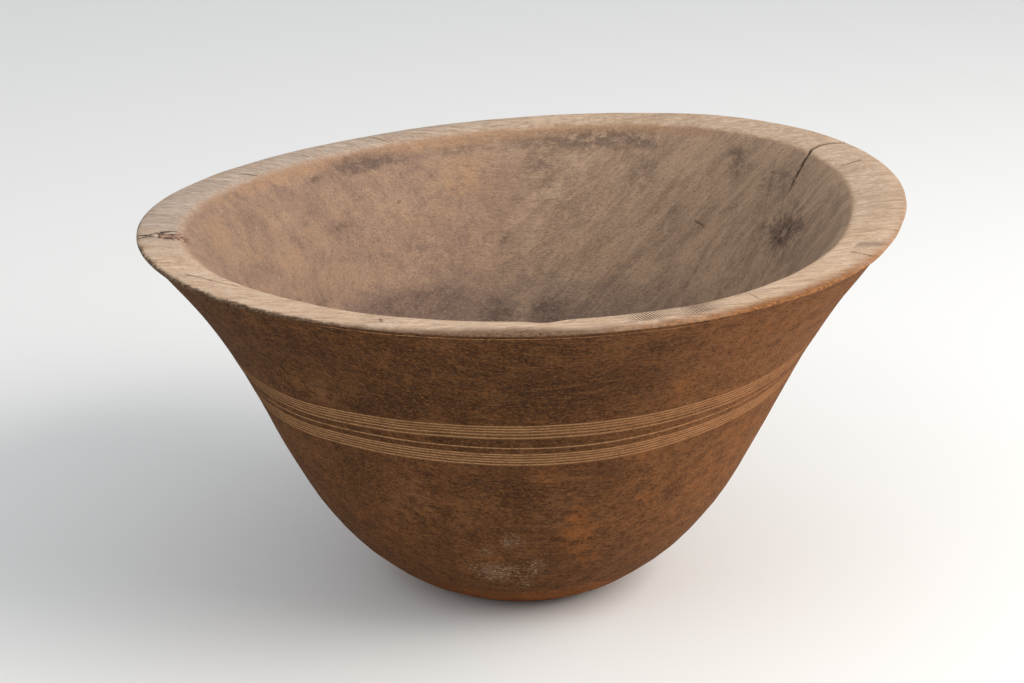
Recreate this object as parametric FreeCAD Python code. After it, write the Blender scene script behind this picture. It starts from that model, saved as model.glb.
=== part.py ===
import FreeCAD, Part
import math, os

os.makedirs("parts", exist_ok=True)

# A bowl hewn from one block, standing on its small worn foot.
# Millimetres and degrees. Origin: centre of the foot, on the surface it stands on.
# +Z is up, -Y is the front, +X is the right. Angles run from +X towards +Y.

rim_radius = 200.0
rim_height = 201.5
rim_centre = (5.8, 2.7)          # the mouth sits a little off the foot
rim_out_of_round = ((2, 4.9, 82.0), (3, 4.0, -44.0), (4, 3.3, 22.5))   # lobes, size, direction
rim_out_of_level = ((1, 8.0, 3.0), (2, 3.3, 10.0), (3, 2.1, 56.0))

rim_width = 23.5
rim_width_change = ((1, 2.9, -69.0), (2, 2.9, 3.0))
rim_face_fall = 1.6              # the inner edge is lower than the outer one
rim_face_fall_change = ((1, 1.6, 43.0),)

# Outer wall: fraction of the height, fraction of the rim radius
outer_profile = ((0.0, 0.245), (0.03, 0.312), (0.08, 0.383), (0.16, 0.469), (0.28, 0.561),
                 (0.42, 0.639), (0.56, 0.710), (0.70, 0.785), (0.82, 0.860), (0.92, 0.936), (1.0, 1.0))

# Hollow: height above the foot, radius
floor_height = 30.0
inner_profile = ((30.0, 30.0), (34.0, 42.0), (42.0, 55.0), (58.0, 79.0), (84.0, 105.0),
                 (112.0, 121.0), (141.0, 135.5), (165.0, 149.5), (185.0, 164.0), (199.9, 176.5))

# Section over the rim, from the outer wall up over the face and down into the hollow:
# part of the width from the outer edge, drop below the face
rim_section = ((0.145, 4.2), (0.06, 2.7), (0.0, 1.3), (0.02, 0.5), (0.07, 0.1), (0.20, -0.2),
               (0.35, -0.3), (0.72, 0.0), (0.93, 0.45), (1.03, 1.9), (1.165, 4.7))

# Where the front outer edge is worn back, and where the left and rear inner edge is rubbed round:
# the section there, then the middle, half width and fade of the place in degrees
front_section = ((0.25, 4.4), (0.19, 2.8), (0.155, 1.6), (0.165, 1.0), (0.20, 0.65), (0.30, 0.30),
                 (0.45, 0.0), (0.72, 0.0), (0.93, 0.45), (1.03, 1.9), (1.165, 4.7))
front_wear = (-93.0, 12.0, 30.0)
rubbed_section = ((0.145, 4.2), (0.06, 2.7), (0.0, 1.3), (0.02, 0.5), (0.07, 0.1), (0.20, -0.2),
                  (0.35, -0.3), (0.64, 0.15), (0.82, 1.0), (1.0, 3.2), (1.22, 6.4))
inner_wear = (145.0, 60.0, 35.0)

# Scribed lines round the wall: a lower group, one alone, an upper group; heights and how the group wavers
scribed_groups = (((119.4, 121.1, 122.6, 124.3, 125.7), (4, 1.1, -118.0)),
                  ((129.8,), (4, 1.0, -118.0)),
                  ((135.3, 137.5, 139.3, 140.9, 142.5), (4, 1.0, -100.0)))
scribed_tilt = ((1, 8.0, 6.0), (2, 4.2, -13.0))
scribed_width = 1.1
scribed_depth = 0.6

# Crack through the back right of the rim and down into the hollow
crack_angle = 28.0
crack_width = 1.4
crack_reach = 34.0               # down from the rim along the inner wall
crack_depth = 9.0

# Gash across the left end of the rim, packed with fibrous filling
gash_angle = 194.6
gash_width = 10.5                # over the inner half of the rim
gash_tail_width = 4.5            # over the outer half
gash_depth = 6.0
gash_tail_depth = 3.0
fill_sink = 0.8                  # the filling lies below the rim face

# Grown-in branch knot in the right of the hollow, with its own wood
knot_angle = 18.9
knot_height = 172.0
knot_radius = 6.5
knot_depth = 13.0
knot_tip_radius = 4.0

rings_per_station = 3            # between two stations of the rim section
points_round = 48


def wave(angle, waves):
    total = 0.0
    for lobes, size, direction in waves:
        total += size * math.cos(lobes * (angle - math.radians(direction)))
    return total


def follow(stations, at):
    """Smooth curve through the stations, which are (position, value) pairs."""
    last = len(stations) - 1
    k = 0
    while k < last - 1 and at > stations[k + 1][0]:
        k += 1
    slopes = []
    for i in (k, k + 1):
        low = stations[max(i - 1, 0)]
        high = stations[min(i + 1, last)]
        slopes.append((high[1] - low[1]) / (high[0] - low[0]))
    x0, y0 = stations[k]
    x1, y1 = stations[k + 1]
    span = x1 - x0
    s = (at - x0) / span
    return ((1 + 2 * s) * (1 - s) ** 2 * y0 + s * (1 - s) ** 2 * span * slopes[0]
            + s * s * (3 - 2 * s) * y1 + s * s * (s - 1) * span * slopes[1])


def outer_point(angle, fraction, inset=0.0):
    radius = rim_radius * follow(outer_profile, fraction) + fraction * wave(angle, rim_out_of_round) - inset
    height = fraction * (rim_height + fraction * wave(angle, rim_out_of_level))
    return FreeCAD.Vector(radius * math.cos(angle) + fraction * rim_centre[0],
                          radius * math.sin(angle) + fraction * rim_centre[1], height)


def fraction_at(angle, height):
    swing = wave(angle, rim_out_of_level)
    return 2 * height / (rim_height + math.sqrt(rim_height ** 2 + 4 * swing * height))


def rim_point(angle, across, drop):
    outside = outer_point(angle, 1.0)
    width = rim_width + wave(angle, rim_width_change)
    fall = rim_face_fall + wave(angle, rim_face_fall_change)
    return FreeCAD.Vector(outside.x - across * width * math.cos(angle),
                          outside.y - across * width * math.sin(angle),
                          outside.z - across * fall - drop)


def share_of(angle, place):
    """How far a worn place is in force at an angle, 0 to 1."""
    middle, half, fade = place
    off = abs((math.degrees(angle) - middle + 180.0) % 360.0 - 180.0)
    s = min(max((half + fade - off) / fade, 0.0), 1.0)
    return s * s * (3 - 2 * s)


def section_point(angle, station):
    """Point of the rim section; the station may lie between two of the table."""
    front = share_of(angle, front_wear)
    rubbed = share_of(angle, inner_wear)
    place = []
    for column in (0, 1):
        plain, worn, round_edge = [follow([(k, s[column]) for k, s in enumerate(section)], station)
                                   for section in (rim_section, front_section, rubbed_section)]
        place.append(plain + front * (worn - plain) + rubbed * (round_edge - plain))
    return rim_point(angle, place[0], place[1])


def inner_point(angle, height):
    """Wall of the hollow; height is the profile height before the rim's tilt is added."""
    top = inner_profile[-1][0]
    share = (height - floor_height) / (top - floor_height)
    edge_change = wave(angle, rim_out_of_round) - wave(angle, rim_width_change)
    radius = follow(inner_profile, height) + share * edge_change
    lift = wave(angle, rim_out_of_level) - wave(angle, rim_face_fall_change)
    return FreeCAD.Vector(radius * math.cos(angle) + share * rim_centre[0],
                          radius * math.sin(angle) + share * rim_centre[1],
                          height + share * share * lift)


def ring(point_at):
    """Closed smooth curve through one point per step round the bowl."""
    points = []
    for i in range(points_round):
        points.append(point_at(2 * math.pi * i / points_round))
    curve = Part.BSplineCurve()
    curve.interpolate(Points=points, PeriodicFlag=True)
    return Part.Wire([curve.toShape()])


def scribed_ring(height, waver, inset):
    def point_at(angle):
        level = height + wave(angle, scribed_tilt + (waver,))
        return outer_point(angle, fraction_at(angle, level), inset)
    return ring(point_at)


def skin(rings, ruled=False):
    return Part.makeLoft(rings, False, ruled).Faces


def outer_rings():
    """Lower wall, the scribed band with a notch per line, and the upper wall."""
    half = scribed_width / 2
    band = []
    for heights, waver in scribed_groups:
        for height in heights:
            band.append(scribed_ring(height - half, waver, 0.0))
            band.append(scribed_ring(height, waver, scribed_depth))
            band.append(scribed_ring(height + half, waver, 0.0))
    low_heights, low_waver = scribed_groups[0]
    high_heights, high_waver = scribed_groups[-1]
    lower = []
    for fraction, _ in outer_profile[:6]:
        lower.append(ring(lambda angle: outer_point(angle, fraction)))
    lower.append(scribed_ring(low_heights[0] - 12.0, low_waver, 0.0))
    lower.append(band[0])
    upper = [band[-1], scribed_ring(high_heights[-1] + 12.0, high_waver, 0.0)]
    for fraction, _ in outer_profile[8:10]:
        upper.append(ring(lambda angle: outer_point(angle, fraction)))
    upper.append(ring(lambda angle: section_point(angle, 0)))
    return lower, band, upper


def inner_rings():
    rings = []
    for height, _ in reversed(inner_profile[:-1]):
        rings.append(ring(lambda angle: inner_point(angle, height)))
    return rings


def whole_bowl():
    lower, band, upper = outer_rings()
    rim = [upper[-1]]
    for step in range(1, rings_per_station * (len(rim_section) - 1) + 1):
        rim.append(ring(lambda angle: section_point(angle, step / rings_per_station)))
    hollow = [rim[-1]] + inner_rings()
    faces = skin(lower) + skin(band, ruled=True) + skin(upper) + skin(rim, ruled=True) + skin(hollow)
    faces.append(Part.Face(lower[0]))
    faces.append(Part.Face(hollow[-1]))
    shell = Part.makeShell(faces)
    shell.sewShape()
    solid = Part.makeSolid(Part.Shell(shell.Faces))
    if solid.Volume < 0:
        solid.reverse()
    return solid


def block(angle, from_radius, to_radius, width, low, high):
    """Upright block lying along a spoke of the bowl."""
    box = Part.makeBox(to_radius - from_radius, width, high - low,
                       FreeCAD.Vector(from_radius, -width / 2, low))
    box.rotate(FreeCAD.Vector(0, 0, 0), FreeCAD.Vector(0, 0, 1), angle)
    return box


def crack_cutter():
    """Thin blade through the rim that narrows to nothing down the hollow's wall."""
    angle = math.radians(crack_angle)
    outer_edge = outer_point(angle, 1.0)
    inner_edge = rim_point(angle, 1.0, 0.0)
    out_radius = math.hypot(outer_edge.x, outer_edge.y)
    in_radius = math.hypot(inner_edge.x, inner_edge.y)
    top = outer_edge.z + 3.0
    corners = [FreeCAD.Vector(out_radius + 4.0, 0, top),
               FreeCAD.Vector(out_radius + 4.0, 0, outer_edge.z - 2.0),
               FreeCAD.Vector(in_radius + crack_depth, 0, inner_edge.z - crack_depth),
               FreeCAD.Vector(in_radius - crack_depth * 2.2, 0, inner_edge.z - crack_reach),
               FreeCAD.Vector(in_radius - crack_depth * 2.2, 0, top)]
    blade = Part.Face(Part.makePolygon(corners + [corners[0]]))
    blade.translate(FreeCAD.Vector(0, -crack_width / 2, 0))
    cutter = blade.extrude(FreeCAD.Vector(0, crack_width, 0))
    cutter.rotate(FreeCAD.Vector(0, 0, 0), FreeCAD.Vector(0, 0, 1), crack_angle)
    return cutter


def gash_block(from_radius, to_radius, width, depth, rise):
    """Block along the gash; the radii count from the middle of the rim face."""
    face = rim_point(math.radians(gash_angle), 0.5, 0.0)
    middle = math.hypot(face.x, face.y)
    return block(gash_angle, middle + from_radius, middle + to_radius, width, face.z - depth, face.z + rise)


def knot_cutter():
    angle = math.radians(knot_angle)
    on_wall = inner_point(angle, knot_height - 5.0)
    inward = FreeCAD.Vector(-math.cos(angle), -math.sin(angle), 0.35)
    inward.normalize()
    tip = on_wall - inward * knot_depth
    length = knot_depth + 6.0
    widening = (knot_radius - knot_tip_radius) / knot_depth
    return Part.makeCone(knot_tip_radius, knot_tip_radius + widening * length, length, tip, inward)


def one_solid(shape):
    return max(shape.Solids, key=lambda solid: solid.Volume)


def build():
    bowl = whole_bowl()
    pocket = gash_block(-30.0, 1.0, gash_width, gash_depth, 10.0)
    gash = pocket.fuse(gash_block(0.0, 30.0, gash_tail_width, gash_tail_depth, 10.0))
    rim_gash_fill = one_solid(bowl.common(gash_block(-30.0, 1.0, gash_width, gash_depth, -fill_sink)))
    knot = knot_cutter()
    wall_knot = one_solid(bowl.common(knot))
    bowl_body = one_solid(bowl.cut(gash).cut(knot).cut(crack_cutter()))
    return {"bowl_body": bowl_body, "rim_gash_fill": rim_gash_fill, "wall_knot": wall_knot}


for name, shape in build().items():
    box = shape.BoundBox
    print(name, "valid", shape.isValid(), "volume cm3", round(shape.Volume / 1000, 2), "faces", len(shape.Faces))
    print("  x %.1f..%.1f  y %.1f..%.1f  z %.1f..%.1f"
          % (box.XMin, box.XMax, box.YMin, box.YMax, box.ZMin, box.ZMax))
    shape.exportStep("parts/" + name + ".step")
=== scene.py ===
import math

import bpy
import numpy as np
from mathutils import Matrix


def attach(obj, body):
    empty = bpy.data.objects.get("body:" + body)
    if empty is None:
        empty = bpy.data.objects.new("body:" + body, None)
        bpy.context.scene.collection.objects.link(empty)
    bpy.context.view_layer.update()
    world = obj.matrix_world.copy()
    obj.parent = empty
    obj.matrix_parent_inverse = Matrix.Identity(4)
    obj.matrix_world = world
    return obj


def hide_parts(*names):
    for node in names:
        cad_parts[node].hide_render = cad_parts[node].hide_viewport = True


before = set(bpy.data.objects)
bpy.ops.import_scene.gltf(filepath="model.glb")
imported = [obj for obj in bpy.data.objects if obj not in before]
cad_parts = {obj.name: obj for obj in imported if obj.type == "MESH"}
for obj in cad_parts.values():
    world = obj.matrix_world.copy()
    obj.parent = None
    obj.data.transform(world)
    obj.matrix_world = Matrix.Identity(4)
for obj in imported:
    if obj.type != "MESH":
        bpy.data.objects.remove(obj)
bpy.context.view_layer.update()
print("stage: frame loaded")

mm = 0.001
perRadian = 57.3                     # degrees


def rad(degrees):
    return np.deg2rad(degrees)


def wave(angle, waves):
    total = 0.0
    for lobes, size, direction in waves:
        total = total + size * np.cos(lobes * (angle - rad(direction)))
    return total


def follow(stations, at):
    # smooth curve through (position, value) stations
    xs = np.array([s[0] for s in stations], float)
    ys = np.array([s[1] for s in stations], float)
    slopes = np.empty(len(xs))
    slopes[1:-1] = (ys[2:] - ys[:-2]) / (xs[2:] - xs[:-2])
    slopes[0] = (ys[1] - ys[0]) / (xs[1] - xs[0])
    slopes[-1] = (ys[-1] - ys[-2]) / (xs[-1] - xs[-2])
    at = np.asarray(at, float)
    k = np.clip(np.searchsorted(xs, at, side="right") - 1, 0, len(xs) - 2)
    span = xs[k + 1] - xs[k]
    s = (at - xs[k]) / span
    return ((1 + 2 * s) * (1 - s) ** 2 * ys[k] + s * (1 - s) ** 2 * span * slopes[k]
            + s * s * (3 - 2 * s) * ys[k + 1] + s * s * (s - 1) * span * slopes[k + 1])


def smooth(value, low, high):
    s = np.clip((value - low) / (high - low), 0, 1)
    return s * s * (3 - 2 * s)


def degreesOff(turn, middle):
    return (turn - middle + 180) % 360 - 180


def lumps(points, size, seed):
    # soft random bumps between -1 and 1; size is in millimetres, one number or one per axis
    lattice = np.random.default_rng(seed).uniform(-1, 1, (32, 32, 32))
    spot = points / np.asarray(size, float)
    cell = np.floor(spot).astype(int)
    part = spot - cell
    part = part * part * (3 - 2 * part)
    total = np.zeros(points.shape[:-1])
    for corner in range(8):
        step = np.array([corner & 1, corner >> 1 & 1, corner >> 2 & 1])
        weight = np.prod(np.where(step, part, 1 - part), axis=-1)
        i = (cell + step) % 32
        total += weight * lattice[i[..., 0], i[..., 1], i[..., 2]]
    return total


def distanceTo(points, path):
    # distance from every point to a line through the places in path
    path = np.array(path, float)
    best = np.full(points.shape[:-1], 1e9)
    for a, b in zip(path[:-1], path[1:]):
        along = b - a
        t = np.clip(((points - a) @ along) / (along @ along), 0, 1)
        best = np.minimum(best, np.linalg.norm(points - (a + t[..., None] * along), axis=-1))
    return best


# the bowl's form, millimetres and degrees; angles run from +X towards +Y
form = {
    "rimRadius": 200.0, "rimHeight": 201.5, "rimCentre": (5.8, 2.7),
    "outOfRound": ((2, 4.9, 82.0), (3, 4.0, -44.0), (4, 3.3, 22.5)),
    "outOfLevel": ((1, 8.0, 3.0), (2, 3.3, 10.0), (3, 2.1, 56.0)),
    "rimWidth": 23.5, "rimWidthChange": ((1, 2.9, -69.0), (2, 2.9, 3.0)),
    "faceFall": 1.6, "faceFallChange": ((1, 1.6, 43.0),),
    # outer wall: part of the height, part of the rim's radius
    "outerProfile": ((0.0, 0.245), (0.03, 0.312), (0.08, 0.383), (0.16, 0.469), (0.28, 0.561),
                     (0.42, 0.639), (0.56, 0.710), (0.70, 0.785), (0.82, 0.860), (0.92, 0.936),
                     (1.0, 1.0)),
    "floorHeight": 30.0, "floorRadius": 30.0,
    # hollow: height, radius
    "innerProfile": ((30.0, 30.0), (34.0, 42.0), (42.0, 55.0), (58.0, 79.0), (84.0, 105.0),
                     (112.0, 121.0), (141.0, 135.5), (165.0, 149.5), (185.0, 164.0), (199.9, 176.5)),
    # sections over the rim, outer wall to hollow: part of the width, drop below the face
    "rimSection": ((0.145, 4.2), (0.06, 2.7), (0.0, 1.3), (0.02, 0.5), (0.07, 0.1), (0.20, -0.2),
                   (0.35, -0.3), (0.72, 0.0), (0.93, 0.45), (1.03, 1.9), (1.165, 4.7)),
    "frontSection": ((0.25, 4.4), (0.19, 2.8), (0.155, 1.6), (0.165, 1.0), (0.20, 0.65), (0.30, 0.30),
                     (0.45, 0.0), (0.72, 0.0), (0.93, 0.45), (1.03, 1.9), (1.165, 4.7)),
    "rubbedSection": ((0.145, 4.2), (0.06, 2.7), (0.0, 1.3), (0.02, 0.5), (0.07, 0.1), (0.20, -0.2),
                      (0.35, -0.3), (0.64, 0.15), (0.82, 1.0), (1.0, 3.2), (1.22, 6.4)),
    # middle, half width and fade of the worn places in degrees
    "frontWear": (-93.0, 12.0, 30.0), "innerWear": (145.0, 60.0, 35.0),
}


def spot3(radius, angle, height, share):
    cx, cy = form["rimCentre"]
    return np.stack([radius * np.cos(angle) + share * cx, radius * np.sin(angle) + share * cy,
                     height + 0 * angle], axis=-1)


def outerPoint(angle, fraction):
    fraction = fraction + 0 * angle
    radius = form["rimRadius"] * follow(form["outerProfile"], fraction)
    radius = radius + fraction * wave(angle, form["outOfRound"])
    height = fraction * (form["rimHeight"] + fraction * wave(angle, form["outOfLevel"]))
    return spot3(radius, angle, height, fraction)


def fractionAt(angle, height):
    # the part of the wall's height that lies at this height, as the rim is out of level
    swing = wave(angle, form["outOfLevel"])
    return 2 * height / (form["rimHeight"] + np.sqrt(form["rimHeight"] ** 2 + 4 * swing * height))


def rimPoint(angle, across, drop):
    across = across + 0 * angle
    width = form["rimWidth"] + wave(angle, form["rimWidthChange"])
    fall = form["faceFall"] + wave(angle, form["faceFallChange"])
    inward = np.stack([-np.cos(angle), -np.sin(angle), 0 * angle], axis=-1)
    point = outerPoint(angle, 1.0) + inward * (across * width)[..., None]
    point[..., 2] -= across * fall + drop
    return point


def shareOf(angle, wear):
    middle, half, fade = wear
    return smooth(half + fade - np.abs(degreesOff(np.degrees(angle), middle)), 0, fade)


def section(angle, station, column):
    # across (column 0) or drop (column 1) of the rim at a station, which may lie between two
    value = {}
    for name in ("rimSection", "frontSection", "rubbedSection"):
        value[name] = follow([(k, s[column]) for k, s in enumerate(form[name])], station)
    plain = value["rimSection"]
    return (plain + shareOf(angle, form["frontWear"]) * (value["frontSection"] - plain)
            + shareOf(angle, form["innerWear"]) * (value["rubbedSection"] - plain))


def innerPoint(angle, height):
    top = form["innerProfile"][-1][0]
    share = (height - form["floorHeight"]) / (top - form["floorHeight"])
    edge = wave(angle, form["outOfRound"]) - wave(angle, form["rimWidthChange"])
    radius = follow(form["innerProfile"], height + 0 * angle) + share * edge
    lift = wave(angle, form["outOfLevel"]) - wave(angle, form["faceFallChange"])
    return spot3(radius, angle, height + share * share * lift, share)


def rimAt(degrees, across, lift=0.0):
    # a place on the rim face
    drop = follow(form["rimSection"][2:], across)
    return rimPoint(np.array(rad(degrees)), across, drop - lift)


def hollowAt(degrees, height):
    return innerPoint(np.array(rad(degrees)), height)


def wallAt(degrees, fraction):
    return outerPoint(np.array(rad(degrees)), fraction)


def gridNormals(points):
    around = np.roll(points, -1, axis=1) - np.roll(points, 1, axis=1)
    along = np.empty_like(points)
    along[1:-1] = points[2:] - points[:-2]
    along[0] = points[1] - points[0]
    along[-1] = points[-1] - points[-2]
    normal = np.cross(around, along)
    return normal / np.maximum(np.linalg.norm(normal, axis=-1, keepdims=True), 1e-9)


def closedMesh(name, points, bottom, top):
    # rows of points closed by a fan at each end; rows run so that faces look outwards
    count, columns = points.shape[:2]
    verts = np.concatenate([points.reshape(-1, 3), [bottom], [top]]) * mm
    faces = []
    nxt = np.roll(np.arange(columns), -1)
    for r in range(count - 1):
        a = r * columns
        b = a + columns
        faces.extend(zip((a + np.arange(columns)).tolist(), (a + nxt).tolist(), (b + nxt).tolist(),
                         (b + np.arange(columns)).tolist()))
    first = count * columns
    last = first + 1
    end = (count - 1) * columns
    faces.extend((first, int(n), int(i)) for i, n in enumerate(nxt))
    faces.extend((last, end + int(i), end + int(n)) for i, n in enumerate(nxt))
    mesh = bpy.data.meshes.new(name)
    mesh.from_pydata(verts.tolist(), [], faces)
    mesh.polygons.foreach_set("use_smooth", [True] * len(mesh.polygons))
    mesh.update()
    piece = bpy.data.objects.new(name, mesh)
    bpy.context.scene.collection.objects.link(piece)
    return piece


def storeNumbers(piece, name, values, ends=(0, 0)):
    # one number per vertex, read by the finish under the same name
    layer = piece.data.attributes.new(name, "FLOAT", "POINT")
    layer.data.foreach_set("value", np.concatenate([values.reshape(-1), ends]).astype(np.float32))


bowl = {
    "columns": 670,
    # more columns where cracks, the gash and tool marks need them: centre, half width, columns
    "fineSpots": ((28.0, 2.4, 70), (194.6, 4.0, 90), (-70.0, 5.0, 40), (-86.5, 3.5, 26), (17.4, 3.0, 50)),
    # scribed groups: how the group wavers, how much it is scraped, then height, depth and brightness
    # of each line
    "scribed": (((4, 1.1, -118.0), 1, ((119.4, 0.55, 1.0), (121.1, 0.4, 0.7), (122.6, 0.4, 0.75),
                                       (124.3, 0.4, 0.7), (125.7, 0.45, 0.8))),
                ((4, 1.0, -118.0), 0.4, ((129.8, 0.35, 0.8),)),
                ((4, 1.0, -100.0), 1, ((135.3, 0.55, 1.0), (137.5, 0.4, 0.7), (139.3, 0.45, 0.75),
                                       (140.9, 0.4, 0.7), (142.5, 0.45, 0.8)))),
    "scribedTilt": ((1, 8.0, 6.0), (2, 4.2, -13.0)),
    "scribedHalfWidth": 0.56, "bandMargin": 1.8,       # half width in mm; the margin is in half widths
    # painted groove shadow on the ridges between lines, and how far the ridges rise in millimetres
    "ridgeShadow": -0.35, "ridgeRise": 0.06,
    # where the line under the rim fades in and out, degrees
    "underRimDepth": 0.3, "underRimSpan": (-128.0, -108.0, -72.0, -52.0),
    "handMarks": ((42.0, 0.55, 3), (17.0, 0.25, 5), (7.0, 0.08, 9)),   # size, height, seed
    "crack": {"width": 0.9, "depth": 4.5},
    "dip": {"turn": -88.2, "halfWidth": 2.4, "depth": 1.5},
    "nick": {"turn": -84.8, "halfWidth": 0.45, "across": 0.82, "reach": 0.09, "depth": 1.0, "dark": 0.9},
    # pits in the round-over: degrees, part of the height, size, depth
    "pits": ((-106.0, 0.985, 1.6, 0.9), (-102.4, 0.982, 1.3, 0.8)),
    # chatter on the rim: degrees, slant, half width, strength, where it starts and is full across
    "chatter": ((-68.4, 2.0, 2.8, 1.0, 0.22, 0.4), (-75.2, 1.5, 2.6, 0.9, 0.3, 0.45),
                (-71.0, 0.0, 8.0, 0.4, 0.35, 0.6)),
    # how far the worn outer edge reaches across the rim: degrees, part of the width
    "wornEdge": ((-180, 0.02), (-165, 0.03), (-150, 0.07), (-135, 0.10), (-122, 0.15), (-112, 0.26),
                 (-100, 0.42), (-92, 0.49), (-84, 0.38), (-76, 0.30), (-66, 0.27), (-58, 0.31),
                 (-50, 0.27), (-42, 0.20), (-30, 0.13), (-15, 0.07), (0, 0.03), (40, 0.0), (90, 0.0),
                 (180, 0.02)),
}

knot = {"turn": 18.9, "height": 167.0, "radius": 6.4, "tipRadius": 4.2, "depth": 11.0}

gash = {
    "turn": 194.6, "start": 0.42, "end": 0.93, "halfWidth": 5.3, "depth": 3.4,
    "turnRadius": 193,               # rounded; turns degrees into millimetres at the gash
    # splits: places as degrees and part of the rim's width, then half width and depth
    "splits": ((((193.6, 0.03), (193.9, 0.2), (193.2, 0.4), (192.6, 0.6)), 0.75, 3.0),
               (((194.9, 0.05), (194.8, 0.25), (195.4, 0.5), (196.6, 0.7)), 0.6, 2.0),
               (((194.3, 0.1), (194.4, 0.35), (194.1, 0.55)), 0.5, 1.6),
               (((192.7, 0.45), (192.2, 0.65), (192.4, 0.88)), 0.6, 1.8),
               (((192.4, 0.88), (193.6, 0.97), (196.0, 0.98), (199.0, 0.99)), 0.55, 0.6)),
}

# stains and worn patches, and warm bounce light painted near the foot: degrees, level, half width, half
# height, strength.
# On the outer wall the level is the part of the height, in the hollow it is millimetres.
wallStains = {
    "dark": ((-89.5, 0.80, 7, 0.035, 0.9), (-87, 0.765, 6, 0.02, 0.9), (-84, 0.815, 5, 0.03, 0.7),
             (-78, 0.82, 6, 0.06, 0.6), (-71.5, 0.93, 5, 0.035, 0.8), (-72, 0.82, 5, 0.05, 0.6),
             (-98, 0.90, 12, 0.06, 0.4), (-104, 0.76, 9, 0.05, 0.5), (-113, 0.75, 5, 0.05, 0.7),
             (-120, 0.72, 5, 0.04, 0.6), (-127, 0.88, 9, 0.08, 0.5), (-98, 0.66, 14, 0.03, 0.5),
             (-91.5, 0.49, 6, 0.06, 0.8), (-102, 0.52, 5, 0.06, 0.4), (-94, 0.34, 6, 0.05, 0.6),
             (-102, 0.325, 2, 0.02, 0.8), (-74.5, 0.55, 4, 0.03, 0.7), (-70, 0.52, 4, 0.02, 0.5),
             (-56.5, 0.43, 3, 0.04, 0.8), (-112, 0.28, 9, 0.07, 0.5), (-125, 0.50, 10, 0.10, 0.5),
             (-82, 0.25, 7, 0.05, 0.4), (-60, 0.20, 10, 0.05, 0.3), (-100, 0.12, 16, 0.04, 0.4),
             (140, 0.80, 14, 0.08, 0.6), (95, 0.74, 16, 0.06, 0.7), (60, 0.48, 10, 0.10, 0.6),
             (120, 0.36, 12, 0.10, 0.6), (170, 0.60, 12, 0.10, 0.6), (20, 0.80, 10, 0.08, 0.5)),
    "warm": ((-78.5, 0.36, 3, 0.08, 1.0), (-74, 0.33, 3, 0.05, 0.6), (-86, 0.54, 3, 0.04, 0.7),
             (-68.5, 0.58, 3, 0.03, 0.7), (-64, 0.42, 3, 0.08, 0.6), (-65, 0.78, 2.5, 0.03, 0.7),
             # the broad patches low on the wall at -90, -62 and 100 degrees are painted warm bounce light
             (-90, 0.05, 34, 0.035, 0.6), (-62, 0.07, 20, 0.04, 0.9), (-100, 0.245, 6, 0.03, 0.4),
             (-72, 0.24, 6, 0.05, 0.6), (-55, 0.90, 10, 0.04, 0.4), (-118, 0.95, 10, 0.02, 0.3),
             (-40, 0.50, 16, 0.20, 0.5), (-25, 0.93, 16, 0.08, 0.5), (100, 0.05, 40, 0.03, 0.6),
             (80, 0.30, 6, 0.10, 0.6), (150, 0.45, 6, 0.10, 0.5)),
    "pale": ((-85, 0.43, 3.5, 0.06, 0.7), (-113, 0.44, 4, 0.09, 0.6), (-129, 0.735, 6, 0.05, 0.8),
             (-120, 0.40, 5, 0.07, 0.4), (-61.5, 0.755, 6, 0.04, 0.5), (-63, 0.90, 8, 0.04, 0.4),
             (-78, 0.46, 6, 0.05, 0.4), (-45, 0.62, 12, 0.05, 0.4), (-144, 0.66, 8, 0.06, 0.4),
             (45, 0.66, 12, 0.08, 0.5), (110, 0.55, 10, 0.08, 0.5), (-170, 0.45, 10, 0.10, 0.4)),
    "chalk": ((-92.5, 0.325, 3, 0.018, 1.0), (-97.5, 0.19, 8, 0.035, 0.9), (-86, 0.22, 4, 0.03, 0.6),
              (-88, 0.145, 4, 0.02, 0.5), (-99, 0.285, 3, 0.02, 0.5), (105, 0.24, 6, 0.03, 0.7)),
}
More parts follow.
